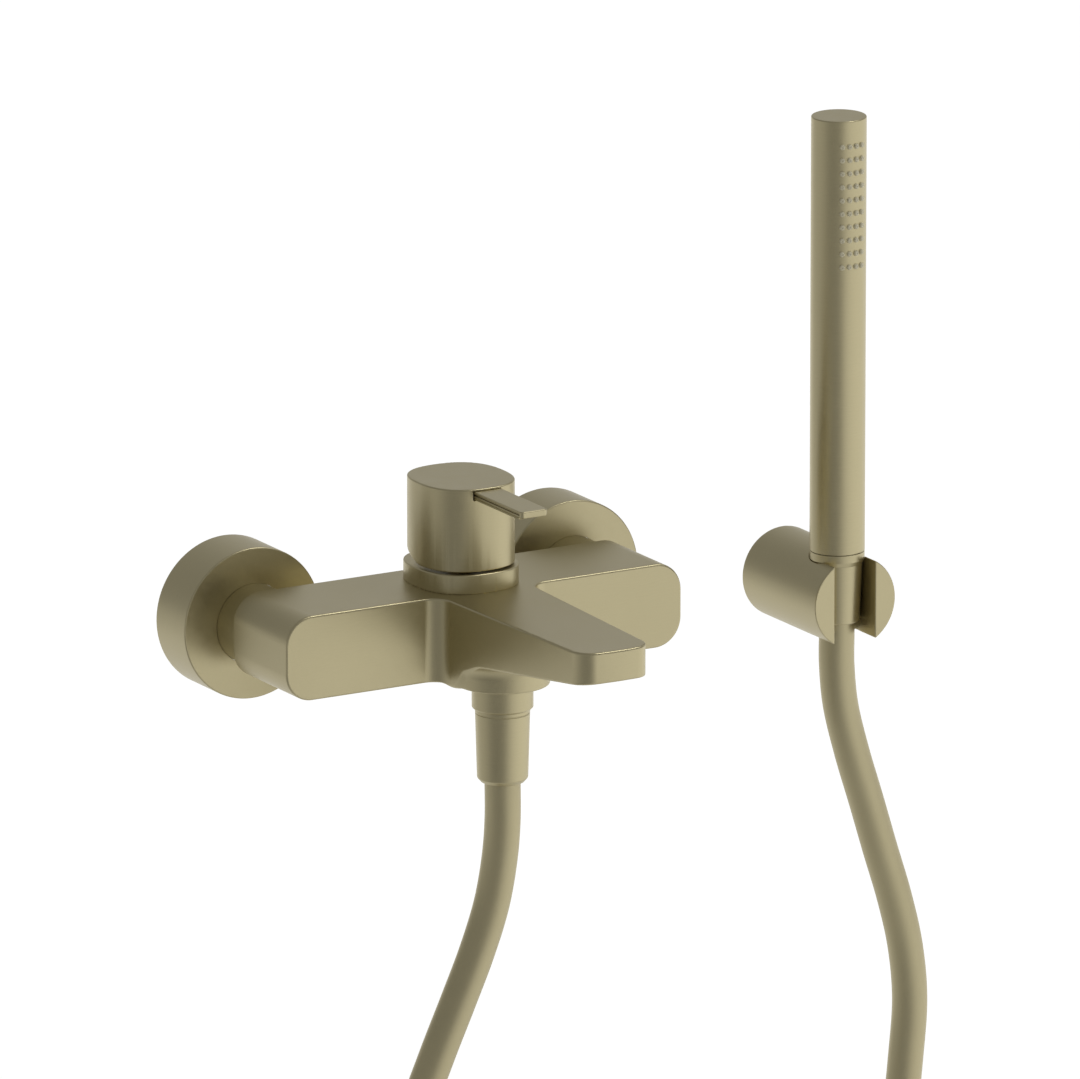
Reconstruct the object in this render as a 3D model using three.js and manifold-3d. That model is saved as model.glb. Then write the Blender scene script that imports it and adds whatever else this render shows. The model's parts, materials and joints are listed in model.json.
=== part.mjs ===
// Wall mounted bath mixer with a stick handset, its hose and its wall bracket.
// Millimetres, +Z up. The wall is the plane y = 0 and the room is on the -Y side.
// The origin lies on the wall, midway between the two inlets.

import * as THREE from 'three';
import { mergeVertices } from 'three/addons/utils/BufferGeometryUtils.js';
import Module from 'manifold-3d';

const wasm = await Module();
wasm.setup();

// ---------------------------------------------------------------- driving dimensions

const GAP = 0.3; // clearance between pieces that touch
const ROUND = 20; // sides of a visible round piece
const SMALL = 12; // sides of a hidden round piece

const INLET_SPACING = 150;
const ESCUTCHEON = { radius: 31.7, depth: 23.9, wall: 1.6 };
const NECK_RADIUS = 16.7;

const BODY = { halfLength: 92.5, back: -38.6, front: -83.3, halfHeight: 17.7, corner: 12 };
const SPOUT = { rootHalf: 20.6, tipHalf: 16.3, tipY: -190.8, tipBulge: 1.6, tipCorner: 7.5, tipBottom: 4.7 };
const UNDERSIDE_SLOPE = 0.133; // drop of the spout's underside for each mm towards the wall
const ROOT_FILLET = 7.5; // vertical concave fillet between bar and spout

const BOSS = { y: -97.5, radius: 19.4, flare: 14.5 };
const CARTRIDGE_Y = -63.6;
const WELL = { radius: 17.6, floor: -8 };
const PIVOT_Z = 14.5; // height of the pin that the lever tilts on

const SQUIRCLE_POWER = 2.46;
const CAP = { halfX: 20.2, halfY: 22.2, bottom: 26.6, top: 61.2, wall: 3, roof: 15.2 };
const CAP_CUT = { start: -63.6, angle: 18 }; // slanted relief under the rear half of the cap
const COLLAR = { halfX: 21.7, halfY: 23.8, top: 25.7, lip: 1.8, mouth: 12.6 };
const LEVER = { halfWidth: 6.2, tipY: -123.6, rootY: -76.5, top: 60.3, thickness: 2.8, rib: 0.8, ribTipY: -120.8 };

const OUTLET_Y = -177; // centre of the aerator under the spout's tip
const HANDSET = { x: 190.1, y: -44.3, radius: 11.45, bottom: 0.6, top: 184.9 };
const NOZZLE = { rows: 10, firstZ: 123.2, pitch: 5.66, columns: [-23.4, -7.8, 7.8, 23.4], reach: 12.5 };
const BRACKET = { z: -19, radius: 19.25, length: 59, slotHalf: 9.77 };
const HOSE_RADIUS = 7.4;

// Centre line of the free hose, from inside the mixer's sleeve to inside the handset's nut.
const HOSE_ROUTE = [
  [0, -97.5, -50.5], [0, -97.5, -60], [0, -97.5, -75], [-1.2, -97.5, -90], [-5, -97.4, -110],
  [-11.8, -97, -130], [-20, -96, -150], [-29.5, -94.5, -173], [-41, -92, -205], [-52, -89, -254.7],
  [-57, -85.5, -315.5], [-54, -82, -381.8], [-42, -78.5, -448.1], [-19, -75, -511.1],
  [17, -71, -564.1], [64, -67, -594], [114, -63, -588.4], [157, -59.5, -549.8], [184, -56.5, -494.5],
  [197, -54, -431.5], [203.5, -51.5, -365.2], [211, -49, -304.4], [219.5, -46.5, -254.7],
  [224, -45, -223.8], [226.2, -44.5, -198], [224, -44.3, -175], [218.6, -44.3, -153],
  [211.5, -44.3, -131], [204.6, -44.3, -109], [197.5, -44.3, -87], [192, -44.3, -66],
  [190.1, -44.3, -48], [190.1, -44.3, -36], [190.1, -44.3, -26.5],
];

// ---------------------------------------------------------------- materials

const material = (color, roughness, metalness) => new THREE.MeshStandardMaterial({ color, roughness, metalness });
const satinBrass = material(0xa99f7d, 0.42, 1);
const rawBrass = material(0xb59a55, 0.38, 1);
const steel = material(0xb9bcc0, 0.35, 1);
const rubber = material(0x26272a, 0.8, 0);
const plastic = material(0xdedcd4, 0.55, 0);
const ceramic = material(0xf1efe9, 0.3, 0);
const silicone = material(0xc4bc99, 0.6, 0);
const hoseSkin = material(0xa59b78, 0.45, 0.3);

// ---------------------------------------------------------------- solids

function signedVolume(position, triangles) {
  let volume = 0;
  for (let i = 0; i < triangles.length; i += 3) {
    const corners = [0, 1, 2].map((k) => new THREE.Vector3().fromArray(position, 3 * triangles[i + k]));
    volume += corners[0].dot(corners[1].cross(corners[2])) / 6;
  }
  return volume;
}

// A closed geometry as a solid whose faces point outwards.
function toSolid(geometry) {
  const bare = geometry.clone();
  bare.deleteAttribute('normal');
  bare.deleteAttribute('uv');
  const merged = mergeVertices(bare, 1e-4);
  const position = new Float32Array(merged.attributes.position.array);
  const index = merged.index.array;
  const triangles = [];
  for (let i = 0; i < index.length; i += 3) {
    const [a, b, c] = index.slice(i, i + 3);
    if (a !== b && b !== c && c !== a) triangles.push(a, b, c);
  }
  if (signedVolume(position, triangles) < 0) triangles.reverse();
  return new wasm.Manifold(new wasm.Mesh({
    numProp: 3,
    vertProperties: position,
    triVerts: new Uint32Array(triangles),
  }));
}

function toGeometry(solid) {
  const mesh = solid.getMesh();
  const geometry = new THREE.BufferGeometry();
  geometry.setAttribute('position', new THREE.BufferAttribute(mesh.vertProperties, 3));
  geometry.setIndex(new THREE.BufferAttribute(mesh.triVerts, 1));
  geometry.computeVertexNormals();
  return geometry;
}

const join = (...pieces) => toGeometry(pieces.map(toSolid).reduce((whole, piece) => whole.add(piece)));
const cut = (base, ...tools) => toGeometry(tools.map(toSolid).reduce((rest, tool) => rest.subtract(tool), toSolid(base)));
const common = (first, second) => toGeometry(toSolid(first).intersect(toSolid(second)));

// A profile of [radius, height] points turned about Z. It closes on itself or ends on the axis.
function revolve(profile, sides = SMALL) {
  const points = profile.map(([radius, height]) => new THREE.Vector2(radius, height));
  const endsOnAxis = profile[0][0] === 0 && profile.at(-1)[0] === 0;
  if (!endsOnAxis) points.push(points[0].clone());
  return new THREE.LatheGeometry(points, sides).rotateX(Math.PI / 2);
}

const rod = (radius, low, high, sides) => revolve([[0, low], [radius, low], [radius, high], [0, high]], sides);
const ring = (outer, inner, low, high, sides) =>
  revolve([[inner, low], [outer, low], [outer, high], [inner, high]], sides);

// A flat outline raised from one height to another.
function prism(shape, low, high, curveSegments = 8) {
  const depth = high - low;
  return new THREE.ExtrudeGeometry(shape, { depth, bevelEnabled: false, curveSegments }).translate(0, 0, low);
}

// A box between two corners.
function block([x0, y0, z0], [x1, y1, z1]) {
  const box = new THREE.BoxGeometry(x1 - x0, y1 - y0, z1 - z0);
  return box.translate((x0 + x1) / 2, (y0 + y1) / 2, (z0 + z1) / 2);
}

// Rods along X and Y between two positions, for channels, screws and pins.
const rodAlongX = (radius, from, to, y, z, sides) =>
  rod(radius, from, to, sides).rotateY(Math.PI / 2).translate(0, y, z);
const rodAlongY = (radius, from, to, x, z, sides) =>
  rod(radius, -to, -from, sides).rotateX(Math.PI / 2).translate(x, 0, z);

// A rounded rectangle with the bar's proportions.
function roundedRectangle(halfWidth, halfHeight, corner) {
  const shape = new THREE.Shape();
  const [x, y] = [halfWidth - corner, halfHeight - corner];
  shape.absarc(x, y, corner, 0, Math.PI / 2);
  shape.absarc(-x, y, corner, Math.PI / 2, Math.PI);
  shape.absarc(-x, -y, corner, Math.PI, 1.5 * Math.PI);
  shape.absarc(x, -y, corner, 1.5 * Math.PI, 2 * Math.PI);
  return shape;
}

// A square with bulging sides and soft corners.
function squircle(halfX, halfY, count = 40) {
  const shape = new THREE.Shape();
  const reach = (value) => Math.sign(value) * Math.abs(value) ** (2 / SQUIRCLE_POWER);
  for (let i = 0; i < count; i += 1) {
    const angle = (2 * Math.PI * i) / count;
    const point = [halfX * reach(Math.cos(angle)), halfY * reach(Math.sin(angle))];
    if (i === 0) shape.moveTo(...point);
    else shape.lineTo(...point);
  }
  shape.closePath();
  return shape;
}

// Holes of one radius at [x, y] points, as tools that cut through a stack of discs.
const drills = (points, radius, low, high) =>
  points.map(([x, y]) => rod(radius, low, high, 8).translate(x, y, 0));

// ---------------------------------------------------------------- assembly

const faucet = new THREE.Group();

function addPart(group, name, geometry, finish) {
  const mesh = new THREE.Mesh(join(geometry), finish);
  mesh.name = name;
  group.add(mesh);
}

function addGroup(x, y, z, turnX = 0) {
  const group = new THREE.Group();
  group.position.set(x, y, z);
  group.rotation.x = turnX;
  faucet.add(group);
  return group;
}

// ---------------------------------------------------------------- mixer body

// The hot, cold and mixed water ports under the cartridge, from the cartridge's axis.
const PORTS = [[-8, 3.6], [8, 3.6], [0, -7.4]];
const CHANNEL_Z = -12.8;

// Spout seen from above: concave fillets at the root, straight tapering sides, a soft bulged tip.
function spoutPlan() {
  const { rootHalf, tipHalf, tipY, tipBulge, tipCorner } = SPOUT;
  const fillet = ROOT_FILLET;
  const shape = new THREE.Shape();
  shape.moveTo(-rootHalf - fillet, BODY.front + 5);
  shape.lineTo(-rootHalf - fillet, BODY.front);
  shape.absarc(-rootHalf - fillet, BODY.front - fillet, fillet, Math.PI / 2, 0.04, true);
  const shoulder = tipY + tipBulge + tipCorner;
  shape.lineTo(-tipHalf, shoulder);
  shape.quadraticCurveTo(-tipHalf, tipY + tipBulge, -tipHalf + tipCorner, tipY + 0.6);
  shape.quadraticCurveTo(0, tipY - 0.6, tipHalf - tipCorner, tipY + 0.6);
  shape.quadraticCurveTo(tipHalf, tipY + tipBulge, tipHalf, shoulder);
  shape.absarc(rootHalf + fillet, BODY.front - fillet, fillet, Math.PI - 0.04, Math.PI / 2, true);
  shape.lineTo(rootHalf + fillet, BODY.front + 5);
  shape.closePath();
  return shape;
}

// Spout seen from the side, in Y and Z: flat top and an underside that climbs to the tip.
function spoutSide() {
  const [back, front] = [BODY.front + 4, SPOUT.tipY - 10];
  const underside = (y) => SPOUT.tipBottom - UNDERSIDE_SLOPE * (y - SPOUT.tipY);
  const shape = new THREE.Shape();
  shape.moveTo(back, BODY.halfHeight);
  shape.lineTo(front, BODY.halfHeight);
  shape.lineTo(front, underside(front));
  shape.lineTo(back, underside(back));
  shape.closePath();
  const halfWidth = SPOUT.rootHalf + ROOT_FILLET + 5;
  // The outline's x and y become the object's y and z, and its depth runs along x.
  const sweep = new THREE.Matrix4().makeBasis(
    new THREE.Vector3(0, 1, 0),
    new THREE.Vector3(0, 0, 1),
    new THREE.Vector3(1, 0, 0),
  );
  return prism(shape, -halfWidth, halfWidth).applyMatrix4(sweep);
}

// Hose outlet under the spout's root: a round boss that flares into the underside.
function outletBoss() {
  const { y, radius, flare } = BOSS;
  const profile = [[0, -BODY.halfHeight], [radius, -BODY.halfHeight]];
  for (let step = 1; step <= 6; step += 1) {
    const angle = (step / 6) * 1.35;
    profile.push([radius + flare * (1 - Math.cos(angle)), -BODY.halfHeight + flare * Math.sin(angle)]);
  }
  profile.push([0, profile.at(-1)[1]]);
  return revolve(profile, ROUND).translate(0, y, 0);
}

function bodyCasting() {
  const { halfLength, back, front, halfHeight, corner } = BODY;
  const bar = prism(roundedRectangle(halfLength, halfHeight, corner), -back, -front, 6).rotateX(Math.PI / 2);
  const plan = prism(spoutPlan(), -halfHeight, halfHeight, 6);
  const rootZone = block([-40, front - 9, -halfHeight], [40, front + 6, halfHeight]);
  const arm = common(plan, join(spoutSide(), outletBoss()));
  return join(bar, arm, common(plan, rootZone));
}

function bodyCavities() {
  const well = rod(WELL.radius, WELL.floor, 30, ROUND).translate(0, CARTRIDGE_Y, 0);
  const ports = drills(PORTS, 2.8, CHANNEL_Z, WELL.floor + 1).map((tool) => tool.translate(0, CARTRIDGE_Y, 0));
  const inlets = [-1, 1].flatMap((side) => [
    rodAlongY(10.6, -51, -30, (side * INLET_SPACING) / 2, 0),
    rodAlongY(7.5, -61, -50, (side * INLET_SPACING) / 2, 0),
    rod(3.6, CHANNEL_Z, -1, 12).translate((side * INLET_SPACING) / 2, -60, 0),
    side < 0 ? rodAlongX(3.6, -76, -6, -60, CHANNEL_Z, 12) : rodAlongX(3.6, 6, 76, -60, CHANNEL_Z, 12),
  ]);
  const outlet = [
    rodAlongY(3.4, -92, -69, 0, CHANNEL_Z, 12),
    rod(10.6, -25, -6, ROUND).translate(0, BOSS.y, 0),
    rod(8.6, -7, 14.5).translate(0, BOSS.y, 0),
    rodAlongY(3, -172, BOSS.y, 0, 11.5, 12),
    rod(10.9, -5, 8.6, ROUND).translate(0, OUTLET_Y, 0),
    rod(8.6, 8, 15.8).translate(0, OUTLET_Y, 0),
  ];
  return [well, ...ports, ...inlets, ...outlet];
}

addPart(faucet, 'mixer_body', cut(bodyCasting(), ...bodyCavities()), satinBrass);

// ---------------------------------------------------------------- wall unions and inlets

// In this group Z runs from the wall into the room and Y is up.
function addInlet(side, word) {
  const group = addGroup((side * INLET_SPACING) / 2, 0, 0, Math.PI / 2);
  const { radius, depth, wall } = ESCUTCHEON;
  const cup = [
    [radius, 0], [radius, depth - 0.5], [radius - 0.5, depth], [NECK_RADIUS + 0.4, depth],
    [NECK_RADIUS + 0.4, depth - wall], [radius - wall, depth - wall], [radius - wall, 0],
  ];
  addPart(group, `escutcheon_${word}`, revolve(cup, ROUND), satinBrass);

  const drop = -5; // the wall thread sits this far below the mixer's inlet
  const union = cut(
    join(
      rod(10.4, -16, -1, SMALL).translate(0, drop, 0),
      rod(14.2, -2, 6, SMALL).translate(0, drop / 2, 0),
      rod(13.1, 5, 20, SMALL),
    ),
    rod(7, -20, 5, SMALL).translate(0, drop, 0),
    rod(8.6, 3, 25, SMALL),
  );
  addPart(group, `eccentric_union_${word}`, union, rawBrass);
  addPart(group, `union_washer_${word}`, ring(12.6, 8.6, 20 + GAP, 22), rubber);

  const tail = [
    [7.5, 22.3], [12.7, 22.3], [12.7, 25.3], [10.8, 25.3], [10.8, 38.2], [10.3, 38.2], [10.3, 50], [7.5, 50],
  ];
  addPart(group, `inlet_tail_${word}`, revolve(tail), rawBrass);
  const nut = [
    [NECK_RADIUS, 9], [NECK_RADIUS, 38.3], [11.1, 38.3], [11.1, 25.7], [13.4, 25.7], [13.4, 9],
  ];
  addPart(group, `union_nut_${word}`, revolve(nut, ROUND), satinBrass);
  const valve = [[0, 40], [7.2, 40], [7.2, 47], [5.4, 49], [5.4, 53], [0, 55]];
  addPart(group, `check_valve_${word}`, revolve(valve), plastic);
}

addInlet(-1, 'left');
addInlet(1, 'right');

// ---------------------------------------------------------------- cartridge

const cartridge = addGroup(0, CARTRIDGE_Y, 0);
const portDrills = drills(PORTS, 2.6, -12, 2);

addPart(cartridge, 'cartridge_seal', cut(rod(14.5, -7.7, -6.9), ...portDrills), rubber);
addPart(cartridge, 'cartridge_base', cut(rod(17.2, -6.6, -3, ROUND), ...portDrills), plastic);
addPart(cartridge, 'ceramic_disc_fixed', cut(rod(12.6, -2.7, 0.3), ...portDrills), ceramic);
addPart(cartridge, 'ceramic_disc_moving', cut(rod(9.6, 0.6, 3.6), block([-5, -5, 0], [5, 4, 2])), ceramic);
addPart(cartridge, 'disc_carrier', revolve([[0, 3.9], [8.8, 3.9], [8.8, 7.7], [3, 7.7], [3, 5.4], [0, 5.4]]), plastic);

const housing = [[17.2, -2.7], [17.2, 15.2], [11.2, 15.2], [11.2, 10.6], [14.6, 10.6], [14.6, -2.7]];
addPart(cartridge, 'cartridge_housing', revolve(housing, ROUND), plastic);

const turntable = [[0, 8], [13.6, 8], [13.6, 10.3], [10.9, 10.3], [10.9, 18.4], [0, 18.4]];
addPart(
  cartridge,
  'lever_turntable',
  cut(revolve(turntable), block([-3.4, -6.8, 0], [3.4, 6.8, 30]), rodAlongX(1.5, -20, 20, 0, PIVOT_Z, 12)),
  plastic,
);
addPart(cartridge, 'spindle_pin', rodAlongX(1.2, -9.5, 9.5, 0, PIVOT_Z, 12), steel);

const ball = { radius: 1.9, z: 7.6 };
const spindleProfile = [
  [0, ball.z - ball.radius], [1.4, ball.z - 1.3], [ball.radius, ball.z], [1.6, 9], [3, 11], [3, 25], [0, 25],
];
addPart(
  cartridge,
  'lever_spindle',
  cut(join(revolve(spindleProfile), block([-3.5, -4, 24], [3.5, 4, 55])), rodAlongX(1.5, -6, 6, 0, PIVOT_Z, 12)),
  rawBrass,
);

const lockRing = ring(17.2, 11.6, 15.5, 19.5, ROUND);
const spannerNotches = [block([-20, -2, 17.8], [20, 2, 21]), block([-2, -20, 17.8], [2, 20, 21])];
addPart(cartridge, 'cartridge_lock_ring', cut(lockRing, ...spannerNotches), rawBrass);
const dome = [[17.3, 19.8], [17.3, 21], [14.8, 22.6], [8.6, 23.3], [8.6, 22.3], [14, 21.6], [16, 19.8]];
addPart(cartridge, 'cartridge_dome', revolve(dome, ROUND), satinBrass);

const collarBlank = prism(squircle(COLLAR.halfX, COLLAR.halfY), BODY.halfHeight + GAP, COLLAR.top);
const collarBore = rod(WELL.radius + 0.1, 0, COLLAR.top - COLLAR.lip, ROUND);
const collarMouth = rod(COLLAR.mouth, 0, 40, ROUND);
addPart(cartridge, 'cartridge_collar', cut(collarBlank, collarBore, collarMouth), satinBrass);

// ---------------------------------------------------------------- lever handle

function handleCap() {
  const { halfX, halfY, bottom, top, wall, roof } = CAP;
  const blank = prism(squircle(halfX, halfY), bottom, top);
  const hollow = prism(squircle(halfX - wall, halfY - wall, 24), bottom - 5, top - roof);
  const relief = block([-40, 0, -40], [40, 60, 0]);
  relief.rotateX(THREE.MathUtils.degToRad(CAP_CUT.angle)).translate(0, CAP_CUT.start - CARTRIDGE_Y, bottom);
  const socket = block([-3.8, -4.3, top - roof - 2], [3.8, 4.3, 55.6]);
  const leverSlot = block(
    [-LEVER.halfWidth - GAP, -30, LEVER.top - LEVER.thickness - LEVER.rib - GAP],
    [LEVER.halfWidth + GAP, LEVER.rootY - CARTRIDGE_Y + GAP, LEVER.top + GAP],
  );
  const screwHole = rodAlongY(2.7, 2, 30, 0, 50.5, 12);
  return cut(blank, hollow, relief, socket, leverSlot, screwHole);
}

addPart(cartridge, 'handle_cap', handleCap(), satinBrass);
const grubScrew = cut(rodAlongY(2.4, 4.4, 13, 0, 50.5, 12), rodAlongY(1.3, 10.5, 14, 0, 50.5, 6));
addPart(cartridge, 'handle_grub_screw', grubScrew, steel);
addPart(cartridge, 'handle_screw_plug', rodAlongY(2.4, 17.2, 21.8, 0, 50.5, 12), plastic);

function leverBlade() {
  const { halfWidth, tipY, rootY, top, thickness, rib, ribTipY } = LEVER;
  const plate = block([-halfWidth, tipY, top - thickness], [halfWidth, rootY, top]);
  const stiffener = block([-halfWidth, ribTipY, top - thickness - rib], [halfWidth, rootY, top - thickness + 1]);
  const blade = join(plate, stiffener);
  const groove = { inset: 0.8, low: top - 1.7, high: top - 1 };
  const grooves = [-1, 1].map((side) => {
    const edge = side * halfWidth;
    const [from, to] = [edge - groove.inset, edge + groove.inset];
    return block([from, tipY - 1, groove.low], [to, CARTRIDGE_Y - CAP.halfY, groove.high]);
  });
  return cut(blade, ...grooves);
}

addPart(faucet, 'lever_blade', leverBlade(), satinBrass);

// ---------------------------------------------------------------- aerator and pull-down diverter

const spoutEnd = addGroup(0, OUTLET_Y, 0);
addPart(spoutEnd, 'diverter_seat', ring(10.6, 5.5, 7.1, 8.3), rubber);
addPart(spoutEnd, 'diverter_disc', rod(7.8, 13.3, 14.9), rubber);
addPart(spoutEnd, 'diverter_rod', rod(1.1, 6.4, 13, 12), steel);
addPart(spoutEnd, 'diverter_ring', ring(10.5, 8.6, 4.2, 6.6, ROUND), satinBrass);

const waterHoles = [0, 1, 2, 3, 4, 5].map((i) => [4.6 * Math.cos((i * Math.PI) / 3), 4.6 * Math.sin((i * Math.PI) / 3)]);
const aeratorCup = [[6.9, 4.2], [8.3, 4.2], [8.3, 6.1], [0, 6.1], [0, 5.3], [6.9, 5.3]];
addPart(spoutEnd, 'aerator_housing', cut(revolve(aeratorCup), ...drills(waterHoles, 0.9, 4, 7)), plastic);
const mesh = [...waterHoles, [0, 0]];
addPart(spoutEnd, 'aerator_insert', cut(rod(6.6, 4.3, 5), ...drills(mesh, 1, 3, 6)), plastic);

// Conical spring that lies flat when the ring is pulled down.
class ConeHelix extends THREE.Curve {
  getPoint(t) {
    const angle = 2 * Math.PI * 3 * t;
    const radius = 4.6 - 2.2 * t;
    return new THREE.Vector3(radius * Math.cos(angle), radius * Math.sin(angle), 8.9 + 3.8 * t);
  }
}
const wire = new THREE.Shape().absarc(0, 0, 0.28, 0, 2 * Math.PI);
const spring = new THREE.ExtrudeGeometry(wire, { steps: 28, extrudePath: new ConeHelix(), curveSegments: 2 });
addPart(spoutEnd, 'diverter_spring', spring, steel);

// ---------------------------------------------------------------- hose outlet at the mixer

const outlet = addGroup(0, BOSS.y, 0);
addPart(outlet, 'outlet_nipple', ring(10.3, 6.6, -23.6, -6.4, ROUND), rawBrass);
const outletValve = [[0, -20], [4.6, -20], [4.6, -17], [6.3, -15.5], [6.3, -9], [0, -9]];
addPart(outlet, 'outlet_check_valve', revolve(outletValve), plastic);
addPart(outlet, 'outlet_washer', ring(10.1, 6, -25.4, -23.9), rubber);
const ferrule = [[4.2, -50.2], [5.9, -50.2], [5.9, -27.2], [10.1, -27.2], [10.1, -25.7], [4.2, -25.7]];
addPart(outlet, 'hose_ferrule_mixer', revolve(ferrule), rawBrass);
const couplingRing = [[12.58, -18], [12.58, -27.6], [12, -28.2], [8.9, -28.2], [8.9, -27.5], [10.6, -27.5], [10.6, -18]];
addPart(outlet, 'hose_coupling_ring', revolve(couplingRing, ROUND), satinBrass);
const sleeve = [
  [11.3, -28.5], [10.42, -57.6], [9, -59.2], [HOSE_RADIUS + GAP, -59.2], [HOSE_RADIUS + GAP, -52], [8.7, -52],
  [8.7, -28.5],
];
addPart(outlet, 'hose_cone_sleeve', revolve(sleeve, ROUND), satinBrass);

// ---------------------------------------------------------------- hose

function hoseTube() {
  const path = new THREE.CatmullRomCurve3(HOSE_ROUTE.map((point) => new THREE.Vector3(...point)));
  const section = new THREE.Shape().absarc(0, 0, HOSE_RADIUS, 0, 2 * Math.PI);
  return new THREE.ExtrudeGeometry(section, { steps: 46, extrudePath: path, curveSegments: 4 });
}

addPart(faucet, 'shower_hose', hoseTube(), hoseSkin);

// ---------------------------------------------------------------- stick handset

const handset = addGroup(HANDSET.x, HANDSET.y, 0);

// Rods that point out of the handset's front through every nozzle place.
function nozzleRods(radius, tipRadius, from, to) {
  const rods = [];
  for (const angle of NOZZLE.columns) {
    for (let row = 0; row < NOZZLE.rows; row += 1) {
      const peg = revolve([[0, from], [radius, from], [tipRadius, to], [0, to]], 4);
      peg.rotateX(Math.PI / 2).rotateZ(THREE.MathUtils.degToRad(angle));
      rods.push(peg.translate(0, 0, NOZZLE.firstZ + row * NOZZLE.pitch));
    }
  }
  return rods;
}

function handsetTube() {
  const { radius, bottom, top } = HANDSET;
  const shell = [
    [radius, bottom], [radius, top - 0.5], [radius - 0.5, top], [0, top],
    [0, top - 1.7], [radius - 1.65, top - 1.7], [radius - 1.65, bottom],
  ];
  const tube = revolve(shell, ROUND);
  return cut(tube, ...nozzleRods(1.5, 1.5, 8, 14));
}

function nozzleStrip() {
  const back = block([-4.6, -12, 119], [4.6, -7, 179]);
  const plate = common(ring(9.4, 8.3, 118, 180), back);
  return join(plate, ...nozzleRods(1, 0.75, 8.6, NOZZLE.reach));
}

addPart(handset, 'handset_tube', handsetTube(), satinBrass);
addPart(handset, 'nozzle_strip', nozzleStrip(), silicone);
addPart(handset, 'handset_waterway', ring(7.9, 6.4, 12, 180, 16), plastic);
const handsetBase = [
  [5, 9], [9.5, 9], [9.5, 6.6], [8.3, 6.6], [8.3, 4.8], [9.5, 4.8], [9.5, 0.3], [11.4, 0.3], [11.4, -2.9],
  [10.2, -4.4], [8.3, -4.4], [8.3, -22], [5, -22],
];
addPart(handset, 'handset_base', revolve(handsetBase, ROUND), satinBrass);
addPart(handset, 'handset_o_ring', ring(9.5, 8.6, 5.1, 6.3), rubber);
addPart(handset, 'handset_washer', ring(7.9, 4.8, -23.9, -22.3), rubber);
const coneNut = [
  [10.5, -4.7], [9.45, -29], [8.9, -29.6], [HOSE_RADIUS + GAP, -29.6], [HOSE_RADIUS + GAP, -26.2],
  [8.6, -26.2], [8.6, -4.7],
];
addPart(handset, 'handset_cone_nut', revolve(coneNut, ROUND), satinBrass);
addPart(handset, 'hose_ferrule_handset', ring(8.2, 4.6, -25.9, -24.2), rawBrass);

// ---------------------------------------------------------------- wall bracket

function bracketBody() {
  const { z, radius, length, slotHalf } = BRACKET;
  const barrel = rodAlongY(radius, -length, 0, HANDSET.x, z, 32);
  const hubRecess = rodAlongY(14.3, -11.6, 5, HANDSET.x, z);
  const seat = [[0, 6], [11.85, 6], [11.85, -4.2], [10.95, -4.8], [9.9, -45], [0, -45]];
  const cradle = revolve(seat, ROUND).translate(HANDSET.x, HANDSET.y, 0);
  const slot = block([HANDSET.x - slotHalf, -length - 5, -50], [HANDSET.x + slotHalf, HANDSET.y, 10]);
  const screwHole = rod(2.3, -45, -30, 12).translate(HANDSET.x, -6, 0);
  return cut(barrel, hubRecess, cradle, slot, screwHole);
}

addPart(faucet, 'bracket_body', bracketBody(), satinBrass);
const bracket = addGroup(HANDSET.x, 0, BRACKET.z, Math.PI / 2);
const hub = [[2.6, 0.2], [13.9, 0.2], [13.9, 11.2], [4.9, 11.2], [4.9, 9.4], [2.6, 7.1]];
addPart(bracket, 'bracket_hub', revolve(hub), rawBrass);
const wallScrew = [[0, -22], [1.2, -19.5], [2.1, -17], [2.1, 7.4], [4.5, 9.8], [4.5, 10.9], [0, 10.9]];
addPart(bracket, 'bracket_wall_screw', revolve(wallScrew), steel);
const lockScrew = cut(rod(2, -19, -14.6, 12), rod(1, -20, -17.5, 6)).rotateX(-Math.PI / 2).translate(0, 0, 6);
addPart(bracket, 'bracket_grub_screw', lockScrew, steel);

export default faucet;
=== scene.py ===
# Looks of the wall mounted bath mixer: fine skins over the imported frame, materials, light and camera.
import json
import math

import bmesh
import bpy
import numpy as np
from mathutils import Matrix


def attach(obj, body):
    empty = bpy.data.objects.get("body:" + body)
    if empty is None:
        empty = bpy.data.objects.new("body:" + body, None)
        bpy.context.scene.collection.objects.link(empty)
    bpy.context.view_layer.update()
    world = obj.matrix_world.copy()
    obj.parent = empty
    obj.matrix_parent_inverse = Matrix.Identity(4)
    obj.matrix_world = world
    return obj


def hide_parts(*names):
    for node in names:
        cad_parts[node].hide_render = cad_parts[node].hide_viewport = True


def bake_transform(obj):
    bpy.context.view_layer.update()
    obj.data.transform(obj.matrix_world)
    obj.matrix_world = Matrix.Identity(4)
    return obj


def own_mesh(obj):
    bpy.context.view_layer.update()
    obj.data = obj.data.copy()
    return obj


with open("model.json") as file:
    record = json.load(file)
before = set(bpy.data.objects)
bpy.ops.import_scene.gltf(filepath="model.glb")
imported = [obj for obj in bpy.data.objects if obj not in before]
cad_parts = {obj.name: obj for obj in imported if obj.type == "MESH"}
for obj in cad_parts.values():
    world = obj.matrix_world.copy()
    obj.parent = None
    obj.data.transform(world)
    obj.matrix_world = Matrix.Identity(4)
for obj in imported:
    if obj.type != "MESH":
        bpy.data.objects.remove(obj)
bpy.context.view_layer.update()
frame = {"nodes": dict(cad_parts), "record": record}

MM = 0.001
TINY = 1e-6

# ---------------------------------------------------------------- camera

AZIMUTH = math.radians(30.014)
ELEVATION = math.radians(14.937)
DISTANCE = 7581.3  # mm from the camera to the plane through the origin
PIXELS_PER_MM = 2.4371
LOOK_RIGHT, LOOK_UP = 63.986, 19.087  # where the picture's centre lies, in mm
FRAME_WIDTH = 1080
SENSOR_WIDTH = 36  # mm


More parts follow.
